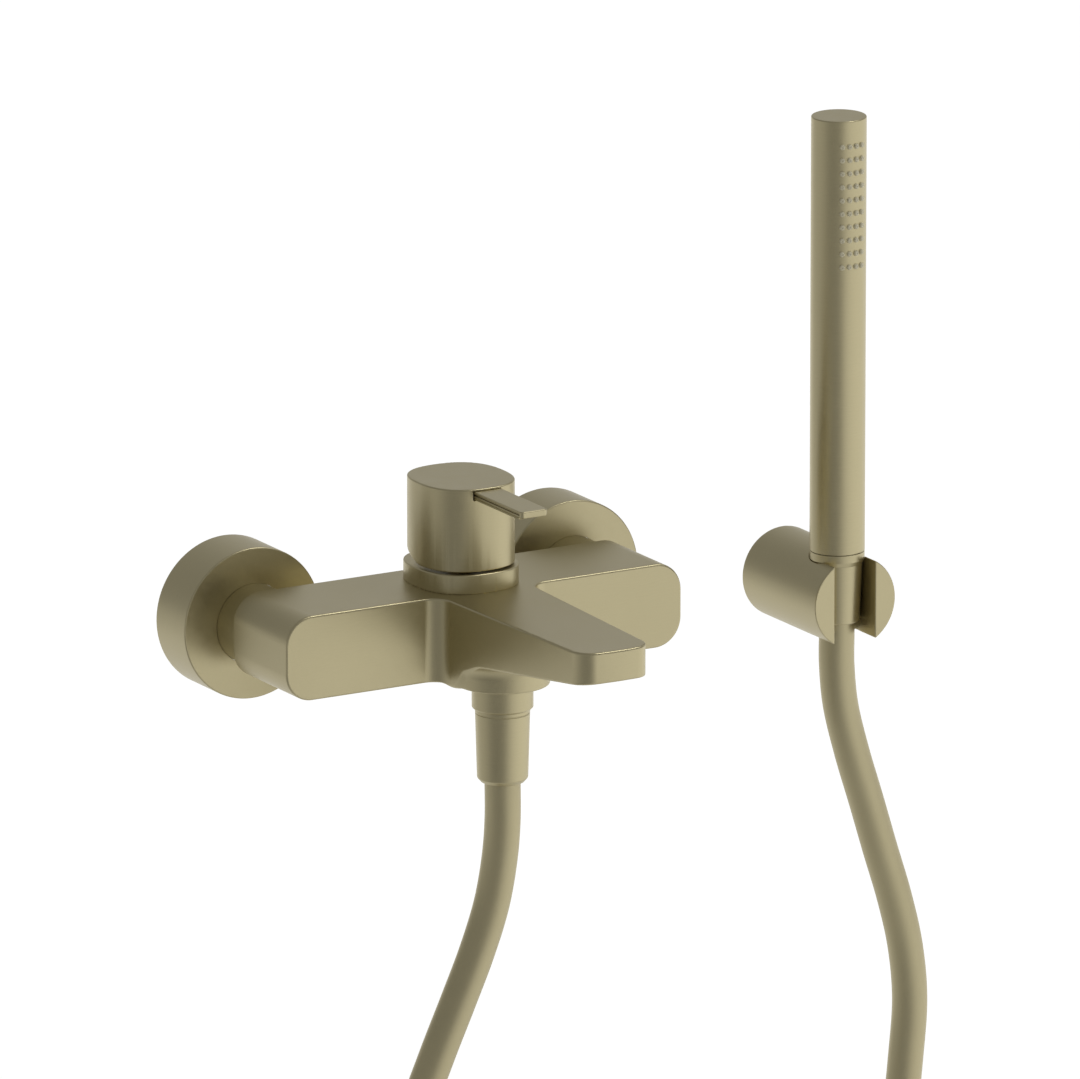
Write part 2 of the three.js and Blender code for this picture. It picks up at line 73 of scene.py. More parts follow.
def make_camera():
    right = np.array([math.cos(AZIMUTH), -math.sin(AZIMUTH), 0])
    level = np.array([math.sin(AZIMUTH), math.cos(AZIMUTH), 0])
    forward = level * math.cos(ELEVATION) - np.array([0, 0, math.sin(ELEVATION)])
    up = level * math.sin(ELEVATION) + np.array([0, 0, math.cos(ELEVATION)])
    place = (right * LOOK_RIGHT + up * LOOK_UP - forward * DISTANCE) * MM
    data = bpy.data.cameras.new("camera")
    data.sensor_width = SENSOR_WIDTH
    data.lens = SENSOR_WIDTH * PIXELS_PER_MM * DISTANCE / FRAME_WIDTH
    data.clip_end = 200
    camera = bpy.data.objects.new("camera", data)
    turn = np.eye(4)
    turn[:3, 0], turn[:3, 1], turn[:3, 2], turn[:3, 3] = right, up, -forward, place
    camera.matrix_world = Matrix(turn.tolist())
    bpy.context.scene.collection.objects.link(camera)
    bpy.context.scene.camera = camera


make_camera()

# ---------------------------------------------------------------- materials


def new_material(name):
    made = bpy.data.materials.new(name)
    made.use_nodes = True
    nodes, links = made.node_tree.nodes, made.node_tree.links
    return made, nodes, links, nodes["Principled BSDF"]


def noise(nodes, links, scale, stretch, detail=3.0):
    """Noise in the piece's own coordinates, finer along the axes with a larger stretch."""
    place = nodes.new("ShaderNodeTexCoord")
    mapping = nodes.new("ShaderNodeMapping")
    mapping.inputs["Scale"].default_value = stretch
    texture = nodes.new("ShaderNodeTexNoise")
    texture.inputs["Scale"].default_value = scale
    texture.inputs["Detail"].default_value = detail
    texture.inputs["Roughness"].default_value = 0.6
    links.new(place.outputs["Object"], mapping.inputs["Vector"])
    links.new(mapping.outputs["Vector"], texture.inputs["Vector"])
    return texture.outputs["Fac"]


def spread(nodes, links, value, low, high):
    """The middle of a noise value's range stretched to run from low to high."""
    ramp = nodes.new("ShaderNodeMapRange")
    ramp.inputs["From Min"].default_value = 0.3
    ramp.inputs["From Max"].default_value = 0.7
    ramp.inputs["To Min"].default_value = low
    ramp.inputs["To Max"].default_value = high
    links.new(value, ramp.inputs["Value"])
    return ramp.outputs["Result"]


def tinted(nodes, links, value, dark, light):
    blend = nodes.new("ShaderNodeMix")
    blend.data_type = "RGBA"
    blend.inputs["A"].default_value = (*dark, 1)
    blend.inputs["B"].default_value = (*light, 1)
    links.new(value, blend.inputs["Factor"])
    return blend.outputs["Result"]


FINE_SHARE = 0.65  # of a finish's changes, the rest is slow
ROUGH_VARY = 0.05
RELIEF_DEPTH = 0.2 * MM


def surface_material(
    name, color, metallic, roughness, grain, stretch=(1, 1, 1), vary=0.04, bump=0.05
):
    """A finish with fine grain in its colour, roughness and relief, and slow changes over the piece."""
    made, nodes, links, shader = new_material(name)
    fine = noise(nodes, links, grain, stretch)
    slow = noise(nodes, links, 30, (1, 1, 1), 2.0)
    both_scales = nodes.new("ShaderNodeMath")
    both_scales.operation = "MULTIPLY_ADD"
    both_scales.inputs[1].default_value = FINE_SHARE
    slow_part = nodes.new("ShaderNodeMath")
    slow_part.operation = "MULTIPLY"
    slow_part.inputs[1].default_value = 1 - FINE_SHARE
    links.new(slow, slow_part.inputs[0])
    links.new(fine, both_scales.inputs[0])
    links.new(slow_part.outputs[0], both_scales.inputs[2])
    mixed = both_scales.outputs[0]
    dark = [c * (1 - vary) for c in color]
    light = [min(1, c * (1 + vary)) for c in color]
    factor = spread(nodes, links, mixed, 0, 1)
    links.new(tinted(nodes, links, factor, dark, light), shader.inputs["Base Color"])
    rough = spread(nodes, links, mixed, roughness - ROUGH_VARY, roughness + ROUGH_VARY)
    links.new(rough, shader.inputs["Roughness"])
    relief = nodes.new("ShaderNodeBump")
    relief.inputs["Strength"].default_value = bump
    relief.inputs["Distance"].default_value = RELIEF_DEPTH
    links.new(fine, relief.inputs["Height"])
    links.new(relief.outputs["Normal"], shader.inputs["Normal"])
    shader.inputs["Metallic"].default_value = metallic
    return made


EVEN = (1, 1, 1)
LATHE_MARKS = (1, 5, 1)
SATIN = (0.535, 0.475, 0.292)
satin_long = surface_material("satin_brushed_along", SATIN, 1, 0.38, 420, (0.5, 4, 4))
satin_round = surface_material("satin_brushed_round", SATIN, 1, 0.38, 420, (0.5, 0.5, 4))
satin_cover = surface_material("satin_brushed_cover", SATIN, 1, 0.38, 420, (1, 4, 1))
hose_skin = surface_material("hose_skin", SATIN, 0.9, 0.45, 700, EVEN, 0.03, 0.04)
raw_brass = surface_material("machined_brass", (0.55, 0.40, 0.18), 1, 0.34, 900, LATHE_MARKS, 0.06, 0.1)
steel = surface_material("bright_steel", (0.56, 0.57, 0.58), 1, 0.28, 900, LATHE_MARKS, 0.05, 0.08)
black_rubber = surface_material("black_rubber", (0.02, 0.02, 0.021), 0, 0.75, 800, EVEN, 0.2, 0.2)
white_plastic = surface_material("moulded_plastic", (0.7, 0.69, 0.65), 0, 0.5, 500, EVEN, 0.03, 0.06)
ceramic = surface_material("lapped_ceramic", (0.86, 0.85, 0.8), 0, 0.25, 600, EVEN, 0.02, 0.02)
silicone = surface_material("nozzle_silicone", (0.68, 0.63, 0.45), 0, 0.42, 900, EVEN, 0.04, 0.05)

BY_SLOT = {
    "satin_finish": satin_round,
    "raw_brass": raw_brass,
    "steel": steel,
    "rubber": black_rubber,
    "plastic": white_plastic,
    "ceramic": ceramic,
    "silicone": silicone,
    "hose_skin": hose_skin,
}
for part in frame["record"]["subparts"]:
    node = frame["nodes"][part["node"]]
    node.data.materials.clear()
    node.data.materials.append(BY_SLOT[part["material_slot"]])

# ---------------------------------------------------------------- making pieces


FLAT_WIDTH = 1.6 * MM  # a face with a larger mean width than this is one of a piece's flat sides


def set_normals(mesh, normals):
    """The surface's own normal at each point, but a flat side's one normal all over it."""
    corners = []
    for face in mesh.polygons:
        places = np.array([mesh.vertices[v].co for v in face.vertices])
        extent = np.linalg.norm(places.max(0) - places.min(0))
        is_flat = face.area > FLAT_WIDTH * extent
        corners += [tuple(face.normal) if is_flat else tuple(normals[v]) for v in face.vertices]
    mesh.normals_split_custom_set(corners)


def new_piece(name, shape, material):
    """A smooth mesh object from a shape's points, faces and normals in millimetres."""
    points, faces, normals = shape
    mesh = bpy.data.meshes.new(name)
    mesh.from_pydata((np.asarray(points) * MM).tolist(), [], faces)
    mesh.validate()
    mesh.shade_smooth()
    if normals is not None and len(mesh.vertices) == len(normals):
        set_normals(mesh, normals)
    mesh.materials.append(material)
    piece = bpy.data.objects.new(name, mesh)
    bpy.context.scene.collection.objects.link(piece)
    return piece


def add_piece(name, shape, material, slot, body, *nodes):
    """A piece that rides on a body and stands for CAD nodes."""
    piece = new_piece(name, shape, material)
    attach(piece, body)
    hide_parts(*nodes)
    return piece


def unit(v):
    return v / max(np.linalg.norm(v), 1e-12)


NEARLY_STRAIGHT = math.pi / 2 - 0.02  # half the angle of a corner that needs no rounding
LONGEST_REACH = 0.45  # of an edge, taken by the rounding at one of its ends


def softened(profile, radii, steps=5):
    """Points and outward normals of a [radius, height] outline with every corner rounded.

    It runs counterclockwise and closes on itself, unless it starts and ends on the axis."""
    corners = [np.array(p, float) for p in profile]
    count = len(corners)
    is_open = corners[0][0] == 0 and corners[-1][0] == 0
    if np.isscalar(radii):
        radii = [radii] * count
    points, normals = [], []
    for i, corner in enumerate(corners):
        if is_open and i in (0, count - 1):
            other = corners[1] if i == 0 else corners[-2]
            along = unit(other - corner) if i == 0 else unit(corner - other)
            points.append(corner)
            normals.append(np.array([along[1], -along[0]]))
            continue
        before, after = corners[i - 1] - corner, corners[(i + 1) % count] - corner
        into, out = unit(-before), unit(after)
        n_in, n_out = np.array([into[1], -into[0]]), np.array([out[1], -out[0]])
        half = math.acos(np.clip(np.dot(unit(before), unit(after)), -1, 1)) / 2
        if half > NEARLY_STRAIGHT:
            points.append(corner)
            normals.append(unit(n_in + n_out))
            continue
        shorter = min(np.linalg.norm(before), np.linalg.norm(after))
        reach = min(radii[i] / math.tan(half), LONGEST_REACH * shorter)
        radius = reach * math.tan(half)
        convex = into[0] * out[1] - into[1] * out[0] > 0
        middle = corner + unit(unit(before) + unit(after)) * radius / math.sin(half)
        for step in range(steps + 1):
            share = step / steps
            normal = unit(n_in * (1 - share) + n_out * share)
            points.append(middle + normal * radius * (1 if convex else -1))
            normals.append(normal)
    return points, normals, is_open


def lathe(profile, radii=0.3, segments=96, steps=5):
    """Points, faces and normals of a rounded [radius, height] outline turned about Z."""
    outline, slopes, is_open = softened(profile, radii, steps)
    points, normals, rings = [], [], []
    for (r, h), (nr, nh) in zip(outline, slopes):
        if r < TINY:
            rings.append([len(points)] * segments)
            points.append([0, 0, h])
            normals.append([0, 0, 1 if nh > 0 else -1])
            continue
        rings.append(list(range(len(points), len(points) + segments)))
        for k in range(segments):
            angle = 2 * math.pi * k / segments
            c, s = math.cos(angle), math.sin(angle)
            points.append([r * c, r * s, h])
            normals.append([nr * c, nr * s, nh])
    faces = []
    pairs = list(zip(rings, rings[1:])) + ([] if is_open else [(rings[-1], rings[0])])
    for low, high in pairs:
        for k in range(segments):
            m = (k + 1) % segments
            face = [low[k], low[m], high[m], high[k]]
            faces.append([v for n, v in enumerate(face) if v != face[n - 1]])
    return np.array(points), faces, np.array(normals)


def moved(shape, x=0, y=0, z=0):
    points, faces, normals = shape
    return points + np.array([x, y, z]), faces, normals


def turned(shape, axis, degrees):
    points, faces, normals = shape
    turn = np.array(Matrix.Rotation(math.radians(degrees), 3, axis)).T
    return points @ turn, faces, None if normals is None else normals @ turn


def out_of_wall(shape):
    """Turns a piece made along Z so that it runs from the wall into the room."""
    return turned(shape, "X", 90)


def together(*shapes):
    """Several shapes as one, each keeping its own points."""
    points, faces, normals, start = [], [], [], 0
    for p, f, n in shapes:
        points.append(p)
        normals.append(n)
        faces += [[v + start for v in face] for face in f]
        start += len(p)
    return np.concatenate(points), faces, np.concatenate(normals)


# ---------------------------------------------------------------- solid fields
# Each field gives the distance from a surface, negative inside, for arrays of x, y and z in millimetres.


def both(a, b, r=0.0):
    """What is inside a and b, with the edge between them rounded to radius r."""
    return np.minimum(-r, np.maximum(a, b)) + np.hypot(np.maximum(a + r, 0), np.maximum(b + r, 0))


def either(a, b, r=0.0):
    """What is inside a or b, with a concave fillet of radius r between them."""
    return np.maximum(r, np.minimum(a, b)) - np.hypot(np.maximum(r - a, 0), np.maximum(r - b, 0))


def without(a, b, r=0.0):
    """What is inside a and not b, with the edge between them rounded."""
    return both(a, -b, r)


def rounded_rectangle(u, v, half_u, half_v, corner):
    du, dv = np.abs(u) - (half_u - corner), np.abs(v) - (half_v - corner)
    outside = np.hypot(np.maximum(du, 0), np.maximum(dv, 0))
    return outside + np.minimum(np.maximum(du, dv), 0) - corner


def between(value, low, high):
    """A slab from low to high along one axis."""
    return np.abs(value - (low + high) / 2) - (high - low) / 2


SQUIRCLE_POWER = 2.46  # 2 gives an ellipse, more gives squarer corners


def squircle(x, y, half_x, half_y):
    """A soft square between a circle and a rectangle."""
    power = SQUIRCLE_POWER
    u, v = np.abs(x) / half_x + TINY, np.abs(y) / half_y + TINY
    total = u**power + v**power
    size = total ** (1 / power)
    slope = np.hypot(u ** (power - 1) / half_x, v ** (power - 1) / half_y) * total ** (1 / power - 1)
    return (size - 1) / np.maximum(slope, 0.6 / max(half_x, half_y))


BLOCK = 12  # grid steps along a block, which is filled in one go where the surface is far from it
CORNERS = [(a, b, c) for a in (0, 1) for b in (0, 1) for c in (0, 1)]


def sampled(field, axes, step):
    """The field's values on a grid, worked out one by one only in the blocks near its surface."""
    values = np.ones([len(axis) for axis in axes], np.float32)
    starts = [np.arange(0, len(axis), BLOCK) for axis in axes]
    centres = [axis[0] + step * (start + BLOCK / 2) for axis, start in zip(axes, starts)]
    coarse = field(*np.meshgrid(*centres, indexing="ij"))
    reach = step * BLOCK * 1.25
    for place in np.ndindex(coarse.shape):
        part = tuple(slice(starts[n][m], starts[n][m] + BLOCK) for n, m in enumerate(place))
        if abs(coarse[place]) > reach:
            values[part] = coarse[place]
        else:
            grid = np.meshgrid(*(axes[n][part[n]] for n in range(3)), indexing="ij")
            values[part] = field(*grid)
    return values


def crossing_points(values, cells):
    """For each cell, the mean of the places where the surface crosses its edges, in grid steps."""
    place = np.zeros((len(cells), 3))
    crossings = np.zeros(len(cells))
    for first in CORNERS:
        for axis in range(3):
            if first[axis]:
                continue
            second = tuple(v + (n == axis) for n, v in enumerate(first))
            at = [values[tuple((cells + corner).T)] for corner in (first, second)]
            crosses = (at[0] < 0) != (at[1] < 0)
            share = np.where(crosses, at[0] / np.where(crosses, at[0] - at[1], 1), 0)
            point = cells + np.array(first) + share[:, None] * (np.arange(3) == axis)
            place += point * crosses[:, None]
            crossings += crosses
    return place / crossings[:, None]


def grid_faces(inside, index):
    """One face for each grid edge that the surface crosses, wound to face out of the solid."""
    faces = []
    for axis in range(3):
        u, v = (axis + 1) % 3, (axis + 2) % 3
        near, far = [slice(None)] * 3, [slice(None)] * 3
        near[axis], far[axis] = slice(0, -1), slice(1, None)
        edge = np.argwhere(inside[tuple(near)] != inside[tuple(far)])
        for side in (u, v):
            edge = edge[(edge[:, side] > 0) & (edge[:, side] < inside.shape[side] - 1)]
        step_u, step_v = np.eye(3, dtype=int)[u], np.eye(3, dtype=int)[v]
        ring = [
            index[tuple((edge - du * step_u - dv * step_v).T)]
            for du, dv in ((0, 0), (1, 0), (1, 1), (0, 1))
        ]
        quads = np.stack(ring, 1)
        solid_first = inside[tuple(edge.T)]
        faces.append(np.where(solid_first[:, None], quads, quads[:, ::-1]))
    return np.concatenate(faces)


def slopes(field, points, probe=0.02):
    """The field's gradient at each point, from probes a little to either side."""
    offsets = np.eye(3) * probe
    return np.stack([(field(*(points + e).T) - field(*(points - e).T)) / (2 * probe) for e in offsets], 1)


def thinned(field, points, quads, flat_limit):
    """Joins the faces of flat places into large ones, then takes each point's normal from the field."""
    mesh = bpy.data.meshes.new("grid")
    mesh.from_pydata(points.tolist(), [], quads.tolist())
    work = bmesh.new()
    work.from_mesh(mesh)
    bmesh.ops.dissolve_limit(work, angle_limit=math.radians(flat_limit), verts=work.verts, edges=work.edges)
    work.to_mesh(mesh)
    work.free()
    kept = np.array([v.co for v in mesh.vertices], float).reshape(-1, 3)
    faces = [list(p.vertices) for p in mesh.polygons]
    bpy.data.meshes.remove(mesh)
    normals = slopes(field, kept)
    normals /= np.linalg.norm(normals, axis=1)[:, None]
    return kept, faces, normals


def solid(field, low, high, step, flat_limit=0.25):
    """Points, faces and normals of a field's surface inside a box, on a grid of the given step."""
    low, high = np.array(low, float), np.array(high, float)
    counts = np.ceil((high - low) / step).astype(int) + 1
    values = sampled(field, [low[i] + step * np.arange(counts[i]) for i in range(3)], step)
    inside = values < 0
    total = sum(
        inside[a : a - 1 or None, b : b - 1 or None, c : c - 1 or None].astype(np.int8)
        for a, b, c in CORNERS
    )
    cells = np.argwhere((total > 0) & (total < len(CORNERS)))
    index = -np.ones(total.shape, np.int64)
    index[tuple(cells.T)] = np.arange(len(cells))
    points = low + step * crossing_points(values, cells)
    for _ in range(4):  # draws the points onto the surface
        steep = slopes(field, points)
        fix = field(*points.T)[:, None] * steep / np.maximum((steep**2).sum(1), 0.2)[:, None]
        points -= np.clip(fix, -step / 3, step / 3)
    return thinned(field, points, grid_faces(inside, index), flat_limit)


# ---------------------------------------------------------------- mixer body

BAR_BACK, BAR_FRONT = -38.6, -83.3
BAR_HALF_LENGTH, BAR_HALF_HEIGHT, BAR_CORNER = 92.5, 17.7, 12
EDGE = 0.8
INLET_X = 75
BOSS_Y, BOSS_RADIUS = -97.5, 19.4
CARTRIDGE_Y, WELL_RADIUS, WELL_FLOOR = -63.6, 17.6, -8
OUTLET_Y = -177
PORT_RADIUS, CHANNEL_RADIUS = 10.6, 8.6  # of the threaded ports and of the water's way behind them
SPOUT_TIP, TIP_UNDERSIDE, SPOUT_CLIMB = -190.8, 4.7, 0.133
SPOUT_ROOT, ROOT_HALF_WIDTH, SPOUT_TAPER = -90, 20.6, 4.3 / 100.8
NOSE_CENTRE, NOSE_RADIUS = -107.8, 83


def spout_plan(x, y):
    """The spout seen from above: tapering sides, a gently rounded end and a fillet to the bar."""
    sides = np.abs(x) - (ROOT_HALF_WIDTH + SPOUT_TAPER * (y - SPOUT_ROOT))
    nose = np.hypot(x, y - NOSE_CENTRE) - NOSE_RADIUS
    spout = both(sides / math.hypot(1, SPOUT_TAPER), nose, 7.0)
    plan = either(spout, BAR_FRONT - y, 7.5)
    return np.maximum(plan, np.maximum(np.abs(x) - 60, y + 50))


def arm_bottom(x, y, z):
    """What is above the spout's rising underside, the hose boss and the deeper root between them."""
    lowest = TIP_UNDERSIDE - SPOUT_CLIMB * (y - SPOUT_TIP)
    underside = (lowest - z) / math.hypot(1, SPOUT_CLIMB)
    bottom = -BAR_HALF_HEIGHT - z
    boss = both(np.hypot(x, y - BOSS_Y) - BOSS_RADIUS, bottom, 0.6)
    root = both(BOSS_Y + 1.5 - y, bottom, 8.0)
    return either(either(underside, boss, 6.5), root, 6.0)


def body_field(x, y, z):
    """One casting: the bar, the spout with the hose boss, and the holes bored in them."""
    bar = rounded_rectangle(x, z, BAR_HALF_LENGTH, BAR_HALF_HEIGHT, BAR_CORNER)
    bar = both(bar, between(y, BAR_FRONT, BAR_BACK), EDGE)
    arm = both(both(spout_plan(x, y), z - BAR_HALF_HEIGHT, EDGE), arm_bottom(x, y, z), EDGE)
    whole = np.minimum(bar, arm)
    from_cartridge = np.hypot(x, y - CARTRIDGE_Y)
    from_boss = np.hypot(x, y - BOSS_Y)
    from_outlet = np.hypot(x, y - OUTLET_Y)
    from_inlet = np.hypot(np.abs(x) - INLET_X, z)
    for hole in (
        both(from_cartridge - WELL_RADIUS, WELL_FLOOR - z),
        both(from_boss - PORT_RADIUS, z + 6),
        both(from_boss - CHANNEL_RADIUS, between(z, -7, 14)),
        both(from_outlet - 10.9, z - 8.6),
        both(from_outlet - CHANNEL_RADIUS, z - 15.5),
        both(from_inlet - PORT_RADIUS, -51 - y),
        both(from_inlet - 7.5, -61 - y),
    ):
        whole = without(whole, hole, 0.3)
    return whole


add_piece(
    "mixer_body_fine", solid(body_field, (-94, -193, -19.5), (94, -37, 19.5), 0.5),
    satin_long, "satin_finish", "mixer", "mixer_body",
)

# ---------------------------------------------------------------- wall covers and unions


def threaded(radius, depth, pitch, low, high, bore, segments=64, per_turn=10):
    """A tube with a real helical ridge on its outside."""
    rows = int((high - low) / pitch * per_turn)
    points = []
    for height in np.linspace(low, high, rows + 1):
        fade = min(1, (height - low) / pitch, (high - height) / pitch)
        for k in range(segments):
            share = k / segments
            phase = (height / pitch - share) % 1
            ridge = 1 - abs(2 * phase - 1)
            r = radius - depth * (1 - ridge * fade)
            angle = 2 * math.pi * share
            points.append([r * math.cos(angle), r * math.sin(angle), height])
    for height in (high, low):
        for k in range(segments):
            angle = 2 * math.pi * k / segments
            points.append([bore * math.cos(angle), bore * math.sin(angle), height])
    faces = []
    for row in range(rows + 3):
        here, above = row * segments, (row + 1) % (rows + 3) * segments
        for k in range(segments):
            m = (k + 1) % segments
            faces.append([here + k, here + m, above + m, above + k])
    return np.array(points), faces, None


COVER_RADIUS, COVER_HOLE, COVER_DEPTH, COVER_WALL = 31.7, 16.76, 23.9, 1.6
THREAD_RADIUS, THREAD_DEPTH, THREAD_PITCH = 10.4, 1.1, 1.814
ECCENTRIC = 5  # how far a union's wall end lies below the centre of its cover


def inlet_pieces(side, word):
    x = INLET_X * side
    inner, under = COVER_RADIUS - COVER_WALL, COVER_DEPTH - COVER_WALL
    cover = [
        [COVER_RADIUS, 0], [COVER_RADIUS, COVER_DEPTH], [COVER_HOLE, COVER_DEPTH],
        [COVER_HOLE, under], [inner, under], [inner, 0],
    ]
    cover_shape = lathe(cover, [0.2, 0.6, 0.1, 0.1, 0.6, 0.2], 144)
    add_piece(
        f"escutcheon_{word}_fine", moved(out_of_wall(cover_shape), x=x),
        satin_cover, "satin_finish", "mixer", f"escutcheon_{word}",
    )
    nut = [[16.7, 9], [16.7, 38.3], [11.1, 38.3], [11.1, 25.7], [13.4, 25.7], [13.4, 9]]
    add_piece(
        f"union_nut_{word}_fine", moved(out_of_wall(lathe(nut, 0.5, 96)), x=x),
        satin_cover, "satin_finish", "mixer", f"union_nut_{word}",
    )
    thread = out_of_wall(threaded(THREAD_RADIUS, THREAD_DEPTH, THREAD_PITCH, -16, -2.2, 7))
    add_piece(
        f"union_thread_{word}_fine", moved(thread, x=x, z=-ECCENTRIC),
        raw_brass, "raw_brass", "mixer", f"eccentric_union_{word}",
    )
    flange = moved(lathe([[14.2, -2.2], [14.2, 6], [7, 6], [7, -2.2]], 0.5, 6, 3), y=-ECCENTRIC / 2)
    collar = lathe([[13.1, 5.6], [13.1, 20], [8.6, 20], [8.6, 5.6]], 0.3, 72, 3)
    add_piece(
        f"union_collar_{word}_fine", moved(out_of_wall(together(collar, flange)), x=x),
        raw_brass, "raw_brass", "mixer",
    )


for side, word in ((-1, "left"), (1, "right")):
    inlet_pieces(side, word)

# ---------------------------------------------------------------- collar, cap and lever

COLLAR_HALF_X, COLLAR_HALF_Y, COLLAR_TOP = 21.7, 23.8, 25.7
COLLAR_LIP, COLLAR_BORE, COLLAR_MOUTH = 1.8, 17.7, 12.6


def collar_field(x, y, z):
    """The soft-square collar on the bar, with an inward lip round the cartridge's dome."""
    y = y - CARTRIDGE_Y
    ring = both(squircle(x, y, COLLAR_HALF_X, COLLAR_HALF_Y), z - COLLAR_TOP, 0.6)
    ring = both(ring, BAR_HALF_HEIGHT - 0.02 - z)
    across = np.hypot(x, y)
    bore = both(across - COLLAR_BORE, z - (COLLAR_TOP - COLLAR_LIP), 0.3)
    return without(ring, np.minimum(bore, across - COLLAR_MOUTH), 0.4)


add_piece(
    "cartridge_collar_fine", solid(collar_field, (-22.9, -88.9, 16.8), (22.9, -38.3, 26.9), 0.34),
    satin_round, "satin_finish", "mixer", "cartridge_collar",
)

CAP_BOTTOM, CAP_TOP, CAP_HALF_X, CAP_HALF_Y, CAP_WALL = 26.4, 61.2, 20.2, 22.2, 3
CAP_SLANT = math.radians(18)  # the relief behind, which lets the handle tilt up
SCREW_HEIGHT = 50.5
LEVER_HALF, LEVER_TOP, LEVER_THICK, LEVER_RIB = 6.2, 60.3, 2.8, 0.8
LEVER_TIP, LEVER_ROOT = -123.6, -76.5
FIT = 0.2  # the gap between the lever and its slot


def cap_field(x, y, z):
    """The hollow soft-square cap, with the lever's slot, the spindle's socket and a screw hole behind."""
    depth = y - CARTRIDGE_Y
    outer = both(squircle(x, depth, CAP_HALF_X, CAP_HALF_Y), between(z, CAP_BOTTOM, CAP_TOP), 0.6)
    relief = depth * math.sin(CAP_SLANT) - (z - CAP_BOTTOM) * math.cos(CAP_SLANT)
    outer = both(outer, relief, 0.6)
    hollow = both(squircle(x, depth, CAP_HALF_X - CAP_WALL, CAP_HALF_Y - CAP_WALL), z - 46, 1.0)
    slot = both(
        np.abs(x) - (LEVER_HALF + FIT),
        both(between(z, LEVER_TOP - LEVER_THICK - LEVER_RIB - FIT, LEVER_TOP + 0.03), y - LEVER_ROOT - 0.3),
    )
    socket = both(np.abs(x) - 3.8, both(np.abs(depth) - 4.3, between(z, 40, 55.6)))
    screw_hole = both(np.hypot(x, z - SCREW_HEIGHT) - 2.7, 2 - depth)
    cap = without(outer, hollow, 0.3)
    for hole, edge in ((slot, 0.2), (socket, 0.1), (screw_hole, 0.3)):
        cap = without(cap, hole, edge)
    return cap


add_piece(
    "handle_cap_fine", solid(cap_field, (-21.5, -87, 25.5), (21.5, -40, 62.4), 0.42),
    satin_round, "satin_finish", "lever", "handle_cap",
)


def lever_field(x, y, z):
    """A flat blade with a thin stiffening rib below, set off by a fine groove along each side."""
    middle, half_length = (LEVER_TIP + LEVER_ROOT) / 2, (LEVER_ROOT - LEVER_TIP) / 2
    outline = rounded_rectangle(x, y - middle, LEVER_HALF, half_length, 1.5)
    plate = both(outline, between(z, LEVER_TOP - LEVER_THICK, LEVER_TOP), 0.4)
    rib = both(outline + 0.15, LEVER_TIP + 2.8 - y, 0.5)
    rib = both(rib, between(z, LEVER_TOP - LEVER_THICK - LEVER_RIB, LEVER_TOP - 1), 0.3)
    groove = both(LEVER_HALF - 0.75 - np.abs(x), between(z, LEVER_TOP - 1.75, LEVER_TOP - 1.05))
    groove = both(groove, LEVER_TIP + 1.8 - y)
    return without(np.minimum(plate, rib), groove, 0.15)


add_piece(
    "lever_blade_fine", solid(lever_field, (-6.9, -124.5, 56.0), (6.9, -75.8, 61), 0.22),
    satin_long, "satin_finish", "lever", "lever_blade",
)
dome = [[16, 19.8], [17.3, 19.8], [17.3, 21], [14.8, 22.6], [8.6, 23.3], [8.6, 22.3], [14, 21.6]]
add_piece(
    "cartridge_dome_fine", moved(lathe(dome, 0.4, 96), y=CARTRIDGE_Y),
    satin_round, "satin_finish", "mixer", "cartridge_dome",
)

# ---------------------------------------------------------------- aerator and diverter ring

diverter = [[8.6, 4.2], [10.5, 4.2], [10.5, 6.6], [8.6, 6.6]]
add_piece(
    "diverter_ring_fine", moved(lathe(diverter, 0.4, 96), y=OUTLET_Y),
    satin_round, "satin_finish", "diverter", "diverter_ring",
)


def aerator_field(x, y, z):
    """A shallow cup whose floor is pierced by a honeycomb of small round holes."""
    y = y - OUTLET_Y
    cup = both(np.hypot(x, y) - 8.3, between(z, 4.2, 6.1), 0.3)
    cup = without(cup, both(np.hypot(x, y) - 6.9, z - 4.7), 0.2)
    pitch = 2.0
    row_pitch = pitch * math.sin(math.pi / 3)
    v = np.round(y / row_pitch)
    u = np.round(x / pitch - 0.5 * (v % 2)) + 0.5 * (v % 2)
    cell = np.hypot(x - u * pitch, y - v * row_pitch) - 0.72
    cell = np.maximum(cell, np.hypot(x, y) - 6.2)
    return without(cup, np.maximum(cell, z - 5.6), 0.1)


add_piece(
    "aerator_fine", solid(aerator_field, (-8.8, -186, 3.6), (8.8, -168, 6.7), 0.24, 1.0),
    white_plastic, "plastic", "diverter", "aerator_housing", "aerator_insert",
)

# ---------------------------------------------------------------- hose outlet

coupling = [
    [10.6, -27.5], [8.9, -27.5], [8.9, -28.2], [12, -28.2], [12.58, -27.6], [12.58, -17.9], [10.6, -17.9],
]
add_piece(
    "hose_coupling_ring_fine", moved(lathe(coupling, 0.25, 96), y=BOSS_Y),
    satin_round, "satin_finish", "mixer", "hose_coupling_ring",
)
sleeve = [
    [8.7, -52], [7.7, -52], [7.7, -59.2], [8.9, -59.2], [10.45, -57.4], [11.22, -30.3], [11.1, -30.1],
    [11.1, -29.9], [11.26, -29.7], [11.3, -28.4], [8.7, -28.4],
]
sleeve_shape = lathe(sleeve, [0.2, 0.2, 0.3, 0.6, 0.9] + [0.1] * 5 + [0.2], 96)
add_piece(
    "hose_cone_sleeve_fine", moved(sleeve_shape, y=BOSS_Y),
    satin_round, "satin_finish", "mixer", "hose_cone_sleeve",
)

# ---------------------------------------------------------------- hose

